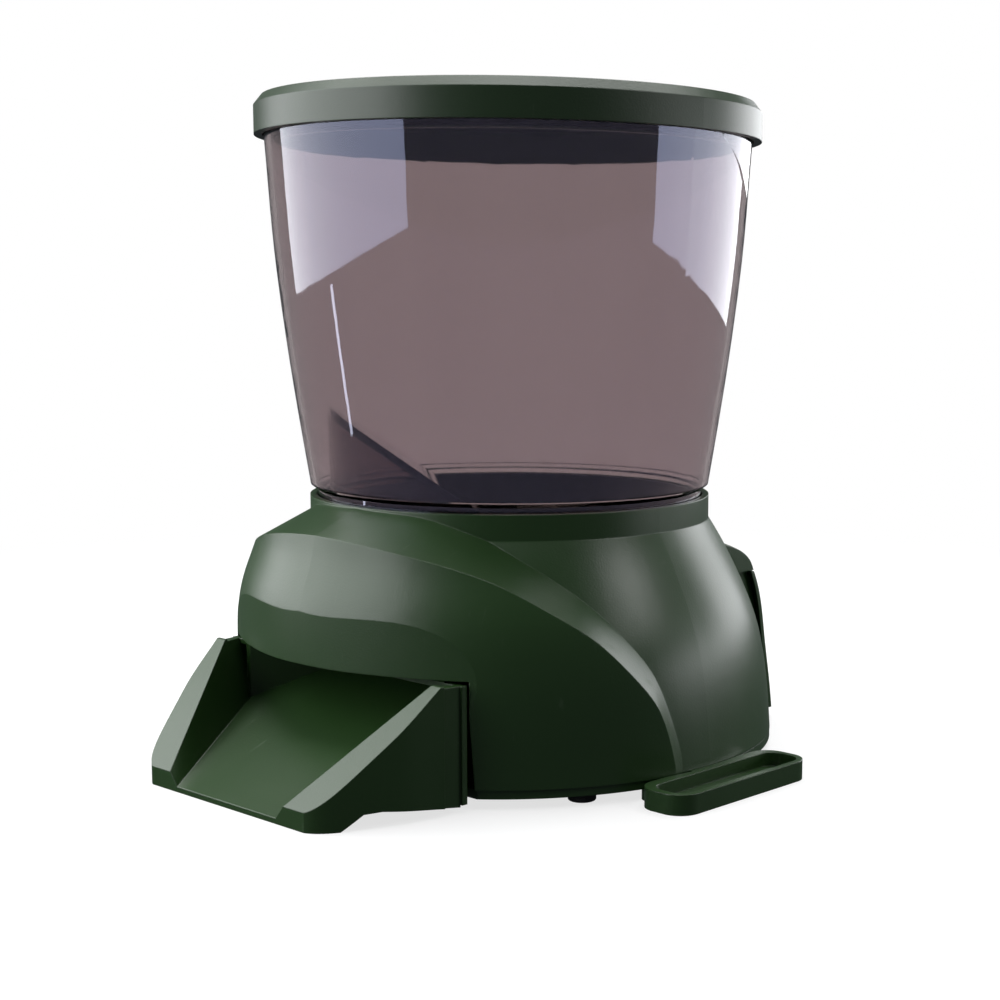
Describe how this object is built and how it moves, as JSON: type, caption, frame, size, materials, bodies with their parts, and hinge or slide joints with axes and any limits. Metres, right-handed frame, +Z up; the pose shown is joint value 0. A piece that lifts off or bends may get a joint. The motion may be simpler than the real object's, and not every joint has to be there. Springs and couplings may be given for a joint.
{
  "type": "automatic fish feeder",
  "caption": "Automatic pond fish feeder: smoke-clear hopper with lid on a domed green base, front chute, side foot trays, and a rear control panel under a hinged cover.",
  "frame": {"origin": "on the hopper's vertical axis at floor level, midway between the two foot-tray screw holes", "axes": "+Z up; -Y is the front, out of the feed chute; +X is the viewer's right when facing the chute's front from -Y"},
  "size_m": [0.27, 0.276, 0.27],
  "materials": {
    "green_abs": "satin dark green ABS moulding",
    "smoke_clear": "clear smoke-tinted styrene, glossy",
    "seal_rubber": "soft black rubber",
    "dark_abs": "matt black ABS",
    "white_acetal": "natural acetal, smooth",
    "button_grey": "fine matt grey ABS",
    "lcd_glass": "clear polycarbonate window",
    "lcd_grey": "grey-green reflective display in a black frame",
    "steel": "zinc-plated or ground steel",
    "brass": "sintered brass",
    "circuit_green": "green solder mask",
    "cell_wrap": "printed steel can, plain grey"
  },
  "bodies": {
    "base": {"base_shell": "green_abs", "base_plate": "green_abs", "rubber_feet": "seal_rubber", "right_foot_tray": "green_abs", "left_foot_tray": "green_abs", "base_screws": "steel", "feed_chute": "green_abs", "hopper_funnel": "dark_abs", "feed_baffle": "smoke_clear", "shaft_bushes": "brass", "wheel_axle": "steel", "drive_motor": "steel", "gearbox_case": "dark_abs", "gearbox_lid": "dark_abs", "gearbox_screws": "steel", "battery_cells": "cell_wrap", "battery_box": "dark_abs", "battery_contacts": "steel", "battery_springs": "steel", "dc_socket": "dark_abs", "control_housing": "green_abs", "cover_hinge_pins": "steel", "control_panel": "dark_abs", "lcd_window": "lcd_glass", "lcd_display": "lcd_grey", "circuit_board": "circuit_green", "switches": "dark_abs", "panel_screws": "steel"},
    "hopper_body": {"hopper": "smoke_clear"},
    "lid_body": {"lid": "green_abs", "lid_seal": "seal_rubber"},
    "rotor": {"feed_rotor": "white_acetal", "rotor_shaft": "steel", "output_gear": "white_acetal"},
    "wheel": {"compound_gear": "white_acetal"},
    "motor_rotor": {"motor_pinion": "brass", "motor_shaft": "steel"},
    "door": {"battery_door": "green_abs"},
    "cover": {"panel_cover": "green_abs"},
    "button_up_body": {"button_up": "button_grey"},
    "button_down_body": {"button_down": "button_grey"},
    "button_set_body": {"button_set": "button_grey"},
    "button_mode_body": {"button_mode": "button_grey"},
    "button_feed_body": {"button_feed": "button_grey"}
  },
  "joints": [
    {"name": "hopper_lift", "type": "slide", "parent": "base", "child": "hopper_body", "axis": [0, 0, 1], "range_m": [0, 0.16]},
    {"name": "lid_lift", "type": "slide", "parent": "hopper_body", "child": "lid_body", "axis": [0, 0, 1], "range_m": [0, 0.1]},
    {"name": "rotor_spin", "type": "hinge", "parent": "base", "child": "rotor", "pos_m": [0, 0, 0.085], "axis": [0, 0, 1], "continuous": true},
    {"name": "wheel_spin", "type": "hinge", "parent": "base", "child": "wheel", "pos_m": [-0.02899, 0.01097, 0.055], "axis": [0, 0, 1], "continuous": true},
    {"name": "motor_spin", "type": "hinge", "parent": "base", "child": "motor_rotor", "pos_m": [-0.045, -0.012, 0.055], "axis": [0, 0, 1], "continuous": true},
    {"name": "cover_hinge", "type": "hinge", "parent": "base", "child": "cover", "pos_m": [0, 0.097, 0.074], "axis": [1, 0, 0], "range_deg": [0, 100]},
    {"name": "battery_door_pull", "type": "slide", "parent": "base", "child": "door", "axis": [0, 0, -1], "range_m": [0, 0.06]},
    {"name": "button_up_press", "type": "slide", "parent": "base", "child": "button_up_body", "axis": [0, -1, 0], "range_m": [0, 0.001], "stiffness_N_per_m": 300, "springref_m": -0.0005},
    {"name": "button_down_press", "type": "slide", "parent": "base", "child": "button_down_body", "axis": [0, -1, 0], "range_m": [0, 0.001], "stiffness_N_per_m": 300, "springref_m": -0.0005},
    {"name": "button_set_press", "type": "slide", "parent": "base", "child": "button_set_body", "axis": [0, -1, 0], "range_m": [0, 0.001], "stiffness_N_per_m": 300, "springref_m": -0.0005},
    {"name": "button_mode_press", "type": "slide", "parent": "base", "child": "button_mode_body", "axis": [0, -1, 0], "range_m": [0, 0.001], "stiffness_N_per_m": 300, "springref_m": -0.0005},
    {"name": "button_feed_press", "type": "slide", "parent": "base", "child": "button_feed_body", "axis": [0, -1, 0], "range_m": [0, 0.001], "stiffness_N_per_m": 300, "springref_m": -0.0005}
  ],
  "couplings": [
    {"joint": "wheel_spin", "follows": "rotor_spin", "ratio": -3.4286},
    {"joint": "motor_spin", "follows": "rotor_spin", "ratio": 10.286}
  ]
}
